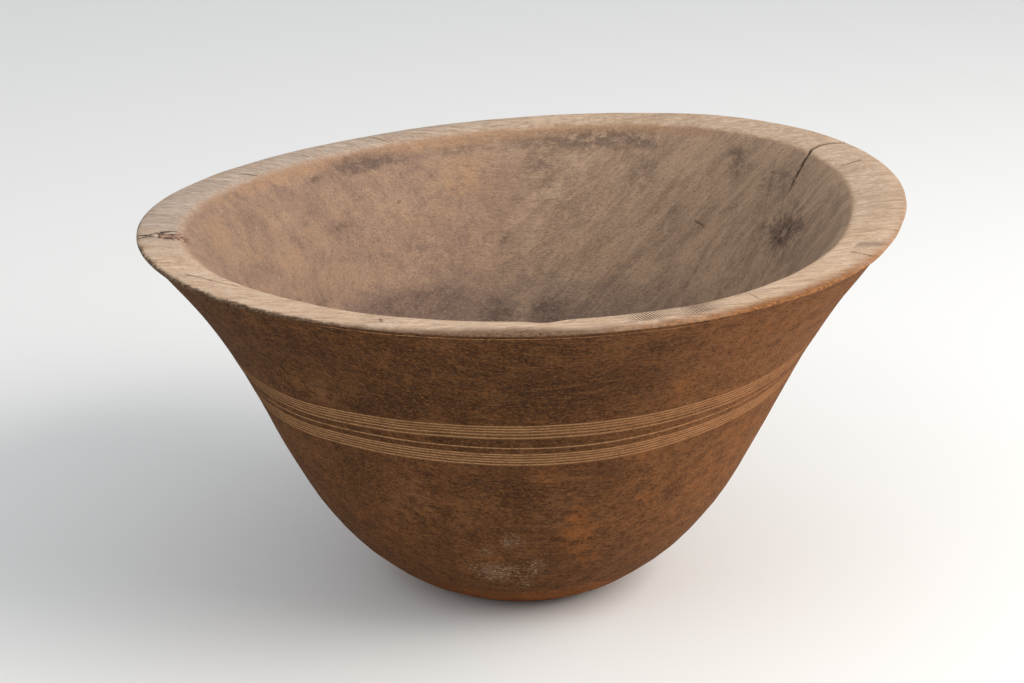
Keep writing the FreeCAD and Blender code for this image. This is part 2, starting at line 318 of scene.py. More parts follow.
hollowStains = {
    "dark": ((126, 193, 7, 5, 1.0), (118, 192, 5, 3, 0.6), (137, 191, 2, 2, 0.8), (166, 184, 6, 7, 0.4),
             (136, 165, 5, 2.5, 0.9), (147, 172, 3, 4, 0.5), (152, 133, 6, 5, 0.8), (128, 116, 16, 8, 0.7),
             (112, 113, 10, 7, 0.6), (97.5, 104, 4.5, 7, 1.2), (83, 104, 5, 7, 1.2), (96, 143, 3, 5, 0.5),
             (78, 192, 16, 5, 0.8), (88, 178, 3, 8, 0.5), (66, 176, 4, 14, 0.4), (57, 158, 4, 9, 0.4),
             (44, 186, 4, 7, 0.6), (48, 156, 3, 1.3, 0.9), (47, 190, 2, 2, 0.8), (35, 184, 4, 8, 0.5),
             (19, 169, 8, 9, 0.5), (26, 163, 4, 5, 0.6), (12, 174, 4, 6, 0.5), (28, 186, 4, 10, 0.5),
             (5, 160, 8, 10, 0.4), (84, 160, 22, 24, 0.35), (104, 192, 8, 3, 0.5), (66, 118, 9, 7, 0.4),
             (90, 65, 60, 22, 0.8),
             (-90, 150, 20, 20, 0.5), (-140, 120, 16, 16, 0.5), (-40, 140, 14, 18, 0.5)),
    "warm": ((102, 176, 6, 12, 0.9), (115, 157, 8, 6, 0.5), (158, 158, 8, 6, 0.5), (140, 197, 34, 3.5, 1.0),
             (104, 198, 12, 4, 0.7), (82, 197, 14, 3.5, 0.9),
             (62, 197, 12, 3, 0.7), (68, 131, 3, 8, 0.5), (182, 186, 8, 9, 0.5), (172, 168, 6, 5, 0.4),
             (40, 172, 3, 6, 0.3), (160, 144, 6, 5, 0.4), (97, 131, 2, 2, 0.6), (-110, 170, 20, 10, 0.5)),
    "pale": ((152, 177, 7, 5, 0.6), (148, 166, 4, 4, 0.5), (126, 180, 5, 5, 0.3), (90.5, 105, 2.0, 6, 1.2),
             (93.5, 109, 3, 2, 0.7), (88, 109, 2, 2, 0.7), (62, 182, 4, 8, 0.3), (75, 158, 5, 9, 0.3),
             (34, 150, 3, 12, 0.4), (52, 170, 4, 8, 0.3), (178, 176, 5, 6, 0.4), (-70, 176, 14, 9, 0.4)),
}


def patches(turns, levels, table, where):
    total = np.zeros(turns.shape)
    for middle, level, halfWidth, halfHeight, strength in table:
        away = (degreesOff(turns, middle) / halfWidth) ** 2 + ((levels - level) / halfHeight) ** 2
        total = total + strength * np.exp(-away) * where
    return np.clip(total, 0, 1.2)


def columnAngles():
    fine = np.linspace(-180, 180, 36001)
    density = np.full(fine.shape, float(bowl["columns"] - sum(s[2] for s in bowl["fineSpots"])) / 360)
    for centre, half, count in bowl["fineSpots"]:
        bell = 1 - smooth(np.abs(degreesOff(fine, centre)), half * 0.7, half * 1.3)
        density += bell * count / (half * 2)
    total = np.concatenate([[0], np.cumsum((density[1:] + density[:-1]) / 2)])
    total *= bowl["columns"] / total[-1]
    return rad(np.interp(np.arange(bowl["columns"]), total, fine))


def bowlRows(angle):
    # every row is (points, kind, position, level), from the foot over the rim to the hollow's floor
    rows = []
    footRadius = form["rimRadius"] * form["outerProfile"][0][1]
    for share in (0.3, 0.6, 0.84, 0.955):
        rows.append((spot3(share * footRadius, angle, 0.0, 0.0), "foot", share, -1.0))
    half = bowl["scribedHalfWidth"]
    margin = half * bowl["bandMargin"]
    tilts = [wave(angle, bowl["scribedTilt"] + (group[0],)) for group in bowl["scribed"]]
    low = fractionAt(angle, bowl["scribed"][0][2][0][0] - margin + tilts[0])
    for k in np.linspace(0.0, 1.0, 17)[:-1] ** 1.25:
        rows.append((outerPoint(angle, low * k), "wall", k, low * k))
    for tilt, (_, _, lines) in zip(tilts, bowl["scribed"]):
        below = fractionAt(angle, lines[0][0] - margin + tilt)
        rows.append((outerPoint(angle, below), "wall", 1.0, below))
        for height, _, _ in lines:
            for off, kind in ((-1.0, "land"), (-0.3, "line"), (0.3, "line"), (1.0, "land")):
                at = fractionAt(angle, height + off * half + tilt)
                rows.append((outerPoint(angle, at), kind, height, at))
        above = fractionAt(angle, lines[-1][0] + margin + tilt)
        rows.append((outerPoint(angle, above), "wall", 1.0, above))
    # upper wall: it bends in to meet the rim section where the edge is worn back
    high = fractionAt(angle, bowl["scribed"][-1][2][-1][0] + margin + tilts[-1])
    start = outerPoint(angle, high)
    join = rimPoint(angle, section(angle, 0, 0), section(angle, 0, 1))
    joinAt = fractionAt(angle, join[..., 2])
    inset = join - outerPoint(angle, joinAt)
    room = join[..., 2] - start[..., 2]
    for below in (48.0, 43.0, 38.0, 33.0, 28.0, 23.0, 18.5, 14.5, 11.0, 8.0, 5.5, 3.5, 1.7):
        share = 1 - below / 52.0
        height = start[..., 2] + room * share
        at = fractionAt(angle, height)
        bend = smooth(share, 0.65, 1.0)[..., None]
        rows.append((outerPoint(angle, at) + inset * bend, "upper", 0.0, at))
    for station in (0, 0.28, 0.42, 0.52, 0.7, 1, 1.4, 1.8, 2, 2.5, 3, 3.5, 4, 4.5, 5, 5.35, 5.7, 6, 6.2,
                    6.4, 6.55, 6.7, 6.85, 7, 7.2, 7.4, 7.6, 7.8, 8, 8.3, 8.6, 9, 9.35, 9.7, 10):
        across = section(angle, station, 0)
        kind = "rim" if station > 1.9 else "underRim" if 0.4 < station < 0.55 else "upper"
        at = across if station > 1.9 else 0.985 + 0 * angle
        rows.append((rimPoint(angle, across, section(angle, station, 1)), kind, station, at))
    for height in (191.0, 187.0, 183.5, 179.0, 175.0, 171.5, 168.0, 164.0, 160.0, 155.0, 149.0, 143.0,
                   137.0, 131.0, 125.0, 119.0, 112.0, 105.0, 98.0, 91.0, 83.0, 75.0, 67.0, 59.0, 51.0,
                   45.0, 40.0, 36.0, 32.5, 30.6):
        rows.append((innerPoint(angle, height), "hollow", height, height + 0 * angle))
    for share in (0.7, 0.35):
        floor = spot3(share * form["floorRadius"], angle, form["floorHeight"], 0.0)
        rows.append((floor, "floor", share, 25.0))
    return rows


def makeBowl():
    angle = columnAngles()
    rows = bowlRows(angle)
    points = np.stack([row[0] for row in rows])
    kinds = np.array([row[1] for row in rows])
    where = np.array([float(row[2]) for row in rows])
    level = np.stack([row[3] + 0 * angle for row in rows])
    normals = gridNormals(points)
    turns = np.broadcast_to(np.degrees(angle)[None, :], points.shape[:2])
    flat = np.zeros(points.shape[:2])

    def isKind(*names):
        return (np.isin(kinds, names)[:, None] + flat) > 0

    onRim = isKind("rim")
    across = np.where(onRim, level, np.where(isKind("hollow", "floor"), 2.0, -1.0))
    fraction = np.where(isKind("wall", "upper", "land", "line", "underRim"), level, -1.0)

    push = flat.copy()
    awayFromFoot = smooth(points[..., 2], 1.0, 14.0)
    for size, height, seed in bowl["handMarks"]:
        push += lumps(points, (size * 1.6, size * 1.6, size), seed) * height * awayFromFoot

    # scribed lines, each with its own uneven depth and brightness; the ridges between them carry a painted
    # shadow of the grooves
    lineShare = flat.copy()
    for height, depth, bright in (line for group in bowl["scribed"] for line in group[2]):
        for r in np.where(isKind("line")[:, 0] & (where == height))[0]:
            strength = 0.8 + 0.3 * lumps(points[r], 23.0, 40 + int(height * 10) % 97)
            strength += 0.2 * lumps(points[r], 4.0, 7)
            push[r] -= depth * np.clip(strength, 0.3, 1.3)
            lineShare[r] = bright * np.clip(strength, 0.25, 1.2)
        for r in np.where(isKind("land")[:, 0] & (where == height))[0]:
            lineShare[r] = bowl["ridgeShadow"]
            push[r] += bowl["ridgeRise"]
    fadeIn, full, fullEnd, fadeOut = bowl["underRimSpan"]
    for r in np.where(isKind("underRim")[:, 0])[0]:
        strength = np.clip(0.8 + 0.5 * lumps(points[r], 24.0, 51), 0.0, 1.2)
        strength *= smooth(turns[r], fadeIn, full) * (1 - smooth(turns[r], fullEnd, fadeOut))
        push[r] -= bowl["underRimDepth"] * strength
        lineShare[r] = strength * 0.65

    # crack through the back right of the rim, running down towards the knot
    crackPath = [rimAt(27.4, -0.02), rimAt(28.3, 0.15), rimAt(29.3, 0.38), rimAt(29.6, 0.62),
                 rimAt(29.2, 0.85), rimAt(28.2, 1.0), hollowAt(27.5, 193.0), hollowAt(26.9, 187.0),
                 hollowAt(26.3, 182.0), hollowAt(24.0, 175.0)]
    wobble = lumps(points, 4.0, 21) * 0.3
    cracked = isKind("rim", "hollow") & (across > 0.015)
    away = distanceTo(points, crackPath) + wobble * 0.6
    wide = bowl["crack"]["width"] * (0.5 + 0.7 * smooth(points[..., 2], 184.0, 200.0))
    deep = bowl["crack"]["depth"] * (0.12 + 0.88 * smooth(points[..., 2], 186.0, 205.0))
    push -= np.clip(1 - away / wide, 0, 1) ** 0.7 * deep * cracked
    crackDark = np.clip(1 - away / (wide * 1.7), 0, 1) * cracked
    crackDark = crackDark * (0.35 + 0.65 * smooth(points[..., 2], 182.0, 198.0))

    # the gash: fine splits in its outer half, and the pocket that its filling lies in
    sideways = np.abs(degreesOff(turns, gash["turn"])) * rad(1) * gash["turnRadius"]
    ragged = lumps(points, (3.0, 2.0, 2.0), 31) * 0.9
    taper = 0.35 + 0.65 * smooth(across, gash["start"] - 0.06, gash["start"] + 0.12)
    side = gash["halfWidth"] * taper
    inPocket = 1 - smooth(sideways + ragged, side - 0.2, side + 0.5)
    inPocket = inPocket * smooth(across, gash["start"] - 0.1, gash["start"])
    inPocket = inPocket * (1 - smooth(across, gash["end"] - 0.02, gash["end"] + 0.02)) * onRim
    push -= inPocket * gash["depth"]
    gashDark = inPocket.copy()
    for places, width, depth in gash["splits"]:
        path = [rimAt(*place) for place in places]
        reach = distanceTo(points, path) + wobble * 0.4
        push -= np.clip(1 - reach / width, 0, 1) * depth * onRim
        gashDark = np.maximum(gashDark, np.clip(1.15 - reach / (width * 1.9), 0, 1) * onRim)

    # worn dip and nick on the front inner edge, pits in the round-over
    innerEdge = np.clip((np.where(onRim, across, 0) - 0.72) / 0.28, 0, 1)
    dip = bowl["dip"]
    push -= np.exp(-(degreesOff(turns, dip["turn"]) / dip["halfWidth"]) ** 2) * innerEdge * dip["depth"]
    chip = bowl["nick"]
    nick = np.exp(-(degreesOff(turns, chip["turn"]) / chip["halfWidth"]) ** 2)
    nick = nick * np.clip(1 - np.abs(across - chip["across"]) / chip["reach"], 0, 1)
    push -= nick * chip["depth"]
    pits = nick * chip["dark"]
    for turn, fractionUp, size, depth in bowl["pits"]:
        off = (points - wallAt(turn, fractionUp)) * (0.6, 0.6, 1.2)
        pit = np.exp(-(np.linalg.norm(off, axis=-1) / size) ** 2)
        push -= pit * depth
        pits = np.maximum(pits, pit)

    # seat for the knot, with the wood swelling a little around it
    knotPlace = hollowAt(knot["turn"], knot["height"])
    fromKnot = np.linalg.norm(points - knotPlace, axis=-1)
    push -= (1 - smooth(fromKnot, knot["radius"] - 1.4, knot["radius"] + 0.3)) * 2.2 * isKind("hollow")
    push += np.exp(-((fromKnot - 10.0) / 5.0) ** 2) * 0.5 * isKind("hollow")

    points = points + normals * push[..., None]
    points[..., 2] = np.maximum(points[..., 2], 0.0)

    piece = closedMesh("bowlWood", points, (0, 0, 0), (0, 0, form["floorHeight"]))
    storeNumbers(piece, "acrossRim", across, (-1, 2))
    storeNumbers(piece, "wornEdge", follow(bowl["wornEdge"], turns))
    storeNumbers(piece, "scribed", lineShare)
    scraped = {line[0]: group[1] for group in bowl["scribed"] for line in group[2]}
    onBand = np.array([scraped.get(at, 0.0) for at in where])[:, None]
    storeNumbers(piece, "scraped", isKind("line", "land") * onBand)
    storeNumbers(piece, "crack", crackDark)
    storeNumbers(piece, "gash", gashDark)
    storeNumbers(piece, "pits", pits)
    chatter = flat
    for turn, slant, halfWidth, strength, start, whole in bowl["chatter"]:
        mark = strength * np.exp(-((turns - turn - slant * across) / halfWidth) ** 2)
        chatter = np.maximum(chatter, mark * smooth(across, start, whole))
    fan = np.exp(-((turns + 28.6 + 3.0 * across) / 1.5) ** 2) * smooth(across, 0.05, 0.15) * (across < 0.6)
    storeNumbers(piece, "chatter", np.clip(np.maximum(chatter, fan * 0.8), 0, 1) * onRim)
    # where the rim face turns into the hollow: further out where the edge is rubbed round
    rubbed = shareOf(angle, form["innerWear"])[None, :]
    turnsIn = np.clip((across - 0.95 + 0.13 * rubbed) / (0.08 + 0.10 * rubbed), -1.5, 2.5)
    storeNumbers(piece, "turnsIn", np.where(onRim, turnsIn, np.where(across > 1.5, 2.5, -1.5)), (-1.5, 2.5))
    drops = np.stack([section(angle, station, 1) if kind == "rim" else 0 * angle
                      for station, kind in zip(where, kinds)])
    hollowLevel = np.where(across > 1.5, level, form["innerProfile"][-1][0] - drops)
    inHollow = np.where(across > 1.5, 1.0, smooth(across, 0.78, 0.95))
    for name in ("dark", "warm", "pale", "chalk"):
        marks = patches(turns, fraction, wallStains[name], fraction > 0)
        if name in hollowStains:
            marks = marks + patches(turns, hollowLevel, hollowStains[name], inHollow)
        storeNumbers(piece, name, marks)
    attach(piece, "root")
    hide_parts("bowl_body")
    print("stage: bowl body,", len(rows), "rows of", len(angle), "points")
    return piece


def makeGashFill():
    # lumpy splintered fibre lying along the gash: cross sections from the middle of the rim inwards
    around = np.linspace(0, 2 * np.pi, 72, endpoint=False)
    aside = np.cos(around)
    rows = []
    for k, share in enumerate(np.linspace(0.0, 1.0, 46)):
        across = gash["start"] + 0.01 + (gash["end"] - gash["start"] - 0.02) * share
        end = np.sqrt(np.clip(1 - (2 * share - 1) ** 8, 0.0, 1)) * 0.96 + 0.04
        width = (gash["halfWidth"] + 0.3) * (0.5 + 0.5 * smooth(share, 0.0, 0.3)) * end
        turn = gash["turn"] + aside * width / gash["turnRadius"] * perRadian
        top = np.clip(np.sin(around), 0, 1) ** 0.35
        base = rimPoint(rad(turn), across, follow(form["rimSection"][2:], across))
        strands = 0.55 * np.cos(aside * 9.5 + 1.3 * math.sin(across * 9))
        strands = strands + 0.3 * np.cos(aside * 21 + across * 13)
        lumpy = strands + 0.5 * lumps(base, (4.0, 1.2, 2.0), 61) + 0.3 * lumps(base, (1.5, 0.8, 1.0), 62)
        base[..., 2] += np.where(np.sin(around) >= 0, (-0.35 + lumpy * 0.40) * top - 3.2 * (1 - top),
                                 -3.2 - 1.6 * np.abs(np.sin(around)) ** 0.4)
        rows.append(base)
    points = np.stack(rows)
    piece = closedMesh("gashFill", points, points[0].mean(axis=0), points[-1].mean(axis=0))
    storeNumbers(piece, "furrow", lumps(points, (5.0, 0.9, 1.4), 63))
    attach(piece, "root")
    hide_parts("rim_gash_fill")
    print("stage: filling of the gash")
    return piece


def makeKnot():
    # branch wood grown into the wall: a tapered plug whose face follows the hollow
    around = np.linspace(0, 2 * np.pi, 96, endpoint=False)
    middle = hollowAt(knot["turn"], knot["height"])
    up = hollowAt(knot["turn"], knot["height"] + 1) - hollowAt(knot["turn"], knot["height"] - 1)
    up = up / np.linalg.norm(up)
    side = hollowAt(knot["turn"] + 1, knot["height"]) - hollowAt(knot["turn"] - 1, knot["height"])
    side = side / np.linalg.norm(side)
    outward = np.cross(up, side)
    outward = outward if outward[0] > 0 else -outward
    radius = math.hypot(middle[0], middle[1])

    def onFace(r):
        turn = knot["turn"] + r * np.cos(around) / radius * perRadian
        return innerPoint(rad(turn), knot["height"] + r * np.sin(around) * up[2])

    ragged = 1 + 0.07 * np.cos(5 * around + 0.6) + 0.05 * np.cos(9 * around) + 0.03 * np.cos(14 * around + 2)
    star = np.abs(np.cos(2.5 * around + 0.4)) ** 14 + 0.7 * np.abs(np.cos(3.5 * around + 1.7)) ** 18
    rows = []
    cracks = []
    for share in (0.35, 0.7, 1.0):
        back = outward * (knot["depth"] + 0.6 * share - 0.6)
        rows.append(onFace(knot["tipRadius"] * share * ragged) + back)
        cracks.append(0 * around)
    for share in (0.75, 0.5, 0.28, 0.14, 0.06):
        r = knot["tipRadius"] + (knot["radius"] - knot["tipRadius"]) * (1 - share)
        rows.append(onFace(r * ragged) + outward * knot["depth"] * share)
        cracks.append(0 * around)
    for share in (1.0, 0.96, 0.9, 0.82, 0.74, 0.66, 0.58, 0.5, 0.42, 0.34, 0.26, 0.18, 0.1, 0.04):
        face = onFace(knot["radius"] * share * ragged)
        relief = 0.35 * lumps(face, 2.2, 71) + 0.2 * lumps(face, 0.9, 72) - 0.9 * share ** 14
        split = star * np.clip(share * 1.6, 0, 1) * (1 - share ** 6)
        rows.append(face - outward * (0.1 + relief - 0.8 * split - 0.5 * (1 - share) ** 2)[..., None])
        cracks.append(split)
    points = np.stack(rows)
    # rows turned the wrong way round would make faces look inwards
    ring = points[5]
    facing = np.cross(ring[1] - ring[0], points[6, 0] - ring[0]) @ (ring[0] - ring.mean(axis=0))
    if facing < 0:
        points = points[:, ::-1]
        cracks = [c[::-1] for c in cracks]
    piece = closedMesh("wallKnot", points, points[0].mean(axis=0), points[-1].mean(axis=0))
    storeNumbers(piece, "split", np.stack(cracks))
    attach(piece, "root")
    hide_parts("wall_knot")
    print("stage: knot")
    return piece


def colour(red, green, blue):
    # colour as seen on a screen, 0 to 1, turned into light
    light = [c / 12.92 if c <= 0.04045 else ((c + 0.055) / 1.055) ** 2.4 for c in (red, green, blue)]
    return tuple(light) + (1.0,)


class Strand:
    # one socket of a finish, usable in sums like a number
    def __init__(self, finish, socket):
        self.finish = finish
        self.socket = socket

    def maths(self, operation, *others):
        return self.finish.node("ShaderNodeMath", {"operation": operation}, dict(enumerate((self,) + others)))

    def __add__(self, other):
        return self.maths("ADD", other)

    def __sub__(self, other):
        return self.maths("SUBTRACT", other)

    def __rsub__(self, other):
        return self.finish.node("ShaderNodeMath", {"operation": "SUBTRACT"}, {0: other, 1: self})

    def __mul__(self, other):
        return self.maths("MULTIPLY", other)

    def __truediv__(self, other):
        return self.maths("DIVIDE", other)

    def __rtruediv__(self, other):
        return self.finish.node("ShaderNodeMath", {"operation": "DIVIDE"}, {0: other, 1: self})

    def __pow__(self, other):
        return self.maths("POWER", other)

    def __neg__(self):
        return self.maths("MULTIPLY", -1.0)

    __radd__ = __add__
    __rmul__ = __mul__

    def ramp(self, low, high, start=0.0, end=1.0):
        ends = {"Value": self, "From Min": low, "From Max": high, "To Min": start, "To Max": end}
        return self.finish.node("ShaderNodeMapRange", {"interpolation_type": "SMOOTHSTEP"}, ends)


class Finish:
    def __init__(self, name):
        self.material = bpy.data.materials.new(name)
        self.material.use_nodes = True
        self.tree = self.material.node_tree
        self.tree.nodes.clear()
        out = self.tree.nodes.new("ShaderNodeOutputMaterial")
        self.surface = self.tree.nodes.new("ShaderNodeBsdfPrincipled")
        self.tree.links.new(self.surface.outputs[0], out.inputs[0])
        spot = self.node("ShaderNodeTexCoord", {}, {}, "Object")
        self.spot = self.scaled(spot, (1000.0, 1000.0, 1000.0))     # millimetres

    def node(self, kind, settings, values, output=0):
        made = self.tree.nodes.new(kind)
        for name, value in settings.items():
            setattr(made, name, value)
        for name, value in values.items():
            self.feed(made.inputs[name], value)
        return Strand(self, made.outputs[output])

    def feed(self, socket, value):
        if isinstance(value, Strand):
            self.tree.links.new(value.socket, socket)
        else:
            socket.default_value = value

    def vector(self, operation, first, second=(0, 0, 0), output=0):
        return self.node("ShaderNodeVectorMath", {"operation": operation}, {0: first, 1: second}, output)

    def scaled(self, vector, by):
        return self.vector("MULTIPLY", vector, by)

    def part(self, vector, axis):
        return self.node("ShaderNodeSeparateXYZ", {}, {0: vector}, axis)

    def joined(self, x, y, z):
        return self.node("ShaderNodeCombineXYZ", {}, {0: x, 1: y, 2: z})

    def stored(self, name):
        return self.node("ShaderNodeAttribute", {"attribute_name": name}, {}, "Fac")

    def blend(self, share, first, second):
        return self.node("ShaderNodeMix", {"data_type": "RGBA"}, {0: share, 6: first, 7: second}, 2)

    def cloud(self, where, size, detail=2.0, rough=0.5, bend=0.0):
        # size in millimetres, one number or one per axis
        size = (size, size, size) if isinstance(size, (int, float)) else size
        place = self.scaled(where, tuple(1.0 / s for s in size))
        return self.node("ShaderNodeTexNoise", {}, {"Vector": place, "Scale": 1.0, "Detail": detail,
                                                    "Roughness": rough, "Distortion": bend})

    def nearLine(self, start, end, width, raggedness):
        # 1 on a straight line between two places in millimetres, 0 beyond its width
        along = np.array(end) - np.array(start)
        fromStart = self.vector("SUBTRACT", self.spot, tuple(float(v) for v in start))
        share = self.vector("DOT_PRODUCT", fromStart, tuple(float(v) for v in along / (along @ along)), 1)
        share = self.node("ShaderNodeClamp", {}, {"Value": share})
        nearest = self.node("ShaderNodeVectorMath", {"operation": "SCALE"},
                            {0: tuple(float(v) for v in along), "Scale": share})
        away = self.vector("DISTANCE", fromStart, nearest, 1)
        return (away + (raggedness - 0.5) * width * 3.0).ramp(width, width * 0.35)

    def give(self, **values):
        names = {"base": "Base Color", "rough": "Roughness", "normal": "Normal",
                 "sheen": "Specular IOR Level"}
        for name, value in values.items():
            self.feed(self.surface.inputs[names[name]], value)


# straight hairlines: from and to (degrees, part of the rim's width or height in the hollow), width,
# strength; a negative strength is a pale line
hairlines = {
    "rim": (((16.8, 0.82), (17.7, 0.34), 0.7, 0.8), ((157.6, 0.02), (151.1, 0.85), 0.9, 0.8),
            ((136.2, 0.1), (134.2, 0.65), 0.8, 0.6), ((118.5, 0.15), (115.8, 0.85), 0.8, 0.6),
            ((-35.0, 0.1), (-34.2, 0.5), 0.9, 0.8), ((-111.4, 0.5), (-112.2, 0.64), 1.0, 0.7),
            ((-147.0, 0.3), (-139.0, 0.75), 0.8, 0.6), ((-58.6, 0.35), (-57.6, 0.95), 0.5, 0.6),
            ((196.0, 0.95), (203.0, 0.985), 0.9, 0.6), ((203.0, 0.985), (210.0, 1.0), 1.0, 0.6),
            ((210.0, 1.0), (217.0, 0.99), 0.8, 0.5)),
    "hollow": (((150.0, 166.0), (118.0, 169.5), 0.9, 0.35), ((49.6, 156.9), (46.6, 155.4), 0.9, 0.6),
               ((24.4, 163.0), (25.1, 138.0), 0.6, -0.9), ((36.0, 192.0), (31.0, 172.0), 0.7, 0.3),
               ((45.2, 187.0), (43.8, 180.0), 0.8, 0.3)),
}


def bowlFinish():
    f = Finish("bowlWoodFinish")
    spot = f.spot
    across = f.stored("acrossRim")
    x, y, z = (f.part(spot, axis) for axis in range(3))
    right = x.ramp(-150.0, 170.0)

    # fibres run along X, slightly bent; growth layers lean up to the right
    bendy = f.node("ShaderNodeTexNoise", {}, {"Vector": f.scaled(spot, (0.012, 0.012, 0.012)), "Scale": 1.0,
                                              "Detail": 1.0}, 1)
    bent = f.vector("ADD", spot, f.scaled(bendy, (0.0, 14.0, 14.0)))
    fibre = f.cloud(bent, (18.0, 0.9, 0.9), 5.0, 0.7)
    fineFibre = f.cloud(bent, (6.0, 0.45, 0.45), 2.0, 0.6)
    streak = f.cloud(bent, (50.0, 3.5, 3.5), 5.0, 0.65)
    leaning = f.joined(x * 0.68 + z * 0.73, x * -0.73 + z * 0.68, y)
    layers = f.cloud(leaning, (48.0, 8.0, 12.0), 6.0, 0.7, 0.8)
    leaningFibre = f.cloud(leaning, (9.0, 1.0, 1.0), 5.0, 0.7)
    upright = f.cloud(spot, (12.0, 12.0, 36.0), 6.0, 0.65, 0.3)
    mottle = f.cloud(spot, 24.0, 7.0, 0.7, 0.5)
    blotch = f.cloud(spot, 70.0, 4.0, 0.55, 0.8)
    dapple = f.cloud(spot, (8.0, 8.0, 6.0), 7.0, 0.75, 0.3)
    grit = f.cloud(spot, (2.0, 1.3, 1.1), 5.0, 0.85)
    flecks = f.cloud(spot, (1.9, 1.2, 0.9), 3.0, 0.7)
    dark, warm, pale, chalk = (f.stored(name) for name in ("dark", "warm", "pale", "chalk"))
    torn = 0.25 + 1.5 * dapple.ramp(0.36, 0.62)

    # outer wall: gritty dark brown, redder and lighter to the right, partly the wood's tone and partly
    # painted light from the right
    lower = (z + (mottle - 0.5) * 30.0).ramp(128.0, 100.0)
    wall = f.blend(dapple.ramp(0.33, 0.67), colour(0.20, 0.12, 0.06), colour(0.33, 0.205, 0.115))
    wall = f.blend(lower * 0.65, wall, f.blend(dapple.ramp(0.33, 0.67), colour(0.29, 0.185, 0.11),
                                               colour(0.455, 0.29, 0.175)))
    wall = f.blend(upright.ramp(0.48, 0.66) * 0.40, wall, colour(0.45, 0.30, 0.18))
    wall = f.blend(blotch.ramp(0.50, 0.68) * 0.45, wall, colour(0.235, 0.140, 0.08))
    # right side: redder wood, made lighter as painted light from the right
    redder = f.blend(dapple.ramp(0.37, 0.62), colour(0.44, 0.275, 0.165), colour(0.58, 0.38, 0.24))
    wall = f.blend(right.ramp(0.45, 1.0) * 0.75, wall, redder)
    wall = f.blend((pale * torn).ramp(0.1, 1.1) * 0.5, wall, colour(0.49, 0.345, 0.225))
    wall = f.blend((warm * torn).ramp(0.1, 1.2) * 0.55, wall, colour(0.60, 0.355, 0.165))
    # orange towards the foot: painted warm bounce light
    wall = f.blend((z + (dapple - 0.5) * 18.0).ramp(26.0, 4.0) * 0.65, wall, colour(0.56, 0.31, 0.115))
    wall = f.blend((dark * torn).ramp(0.1, 1.1) * 0.65, wall, colour(0.19, 0.115, 0.07))
    wall = f.blend(streak.ramp(0.50, 0.68) * 0.35, wall, colour(0.50, 0.335, 0.20))
    wall = f.blend(fibre.ramp(0.50, 0.62) * 0.50, wall, colour(0.165, 0.095, 0.05))
    wall = f.blend(fibre.ramp(0.46, 0.36) * 0.25, wall, colour(0.50, 0.335, 0.20))
    wall = f.blend(flecks.ramp(0.54, 0.64) * 0.45, wall, colour(0.54, 0.345, 0.19))
    wall = f.blend(grit.ramp(0.46, 0.38) * 0.75, wall, colour(0.14, 0.08, 0.042))
    wall = f.blend(grit.ramp(0.53, 0.62) * 0.55, wall, colour(0.53, 0.37, 0.225))
    powder = flecks.ramp(0.46, 0.38) * (0.08 + 0.80 * chalk.ramp(0.1, 0.6))
    wall = f.blend(powder, wall, colour(0.66, 0.56, 0.46))
    wall = f.blend((chalk * torn).ramp(0.3, 1.2) * 0.4, wall, colour(0.50, 0.42, 0.35))

    # scraped bands with bright scribed lines between ridges darkened with painted groove shadow
    scribed = f.stored("scribed")
    scraped = f.stored("scraped")
    # the scraped band is lighter to the right, partly its own tone and partly painted light from the right
    scrapedTone = f.blend(right.ramp(0.4, 0.85), colour(0.50, 0.36, 0.235), colour(0.60, 0.415, 0.275))
    wall = f.blend(scraped * (0.50 + 0.40 * dapple.ramp(0.35, 0.6)), wall, scrapedTone)
    # painted shadow of the scribed grooves, on the ridges between them
    ridge = (-scribed).ramp(0.0, 0.35) * (0.15 + 0.65 * grit.ramp(0.42, 0.58))
    wall = f.blend(ridge, wall, colour(0.27, 0.17, 0.10))
    line = f.blend(right.ramp(0.5, 0.9), colour(0.77, 0.59, 0.415), colour(0.78, 0.57, 0.40))
    wall = f.blend(scribed.ramp(0.0, 0.8) * (0.35 + 0.65 * grit.ramp(0.42, 0.54)), wall, line)

    # rim face: rubbed pale, greyer to the left, with fine fibres and a painted highlight towards the front
    frontHighlight = y.ramp(-20.0, -90.0)
    rim = f.blend(right.ramp(0.1, 0.6), colour(0.69, 0.625, 0.57), colour(0.76, 0.66, 0.565))
    # lighter towards the front: painted highlight
    rim = f.blend(frontHighlight * 0.8, rim, colour(0.815, 0.705, 0.60))
    rim = f.blend(mottle.ramp(0.42, 0.62) * 0.45, rim, f.blend(frontHighlight, colour(0.66, 0.555, 0.46),
                                                               colour(0.74, 0.60, 0.475)))
    rim = f.blend(streak.ramp(0.48, 0.62) * 0.35, rim, colour(0.62, 0.505, 0.405))
    rim = f.blend(streak.ramp(0.47, 0.36) * 0.30, rim, colour(0.86, 0.76, 0.66))
    rim = f.blend(fibre.ramp(0.50, 0.60) * 0.40, rim, colour(0.48, 0.375, 0.30))
    rim = f.blend(fibre.ramp(0.46, 0.36) * 0.35, rim, colour(0.89, 0.775, 0.665))
    rim = f.blend(fineFibre.ramp(0.54, 0.64) * 0.45, rim, colour(0.43, 0.33, 0.26))
    rim = f.blend(grit.ramp(0.46, 0.38) * 0.25, rim, colour(0.45, 0.35, 0.28))
    tan = (f.stored("turnsIn") * 0.4 + dapple).ramp(0.30, 0.75) * 0.5
    rim = f.blend(tan, rim, colour(0.66, 0.50, 0.37))

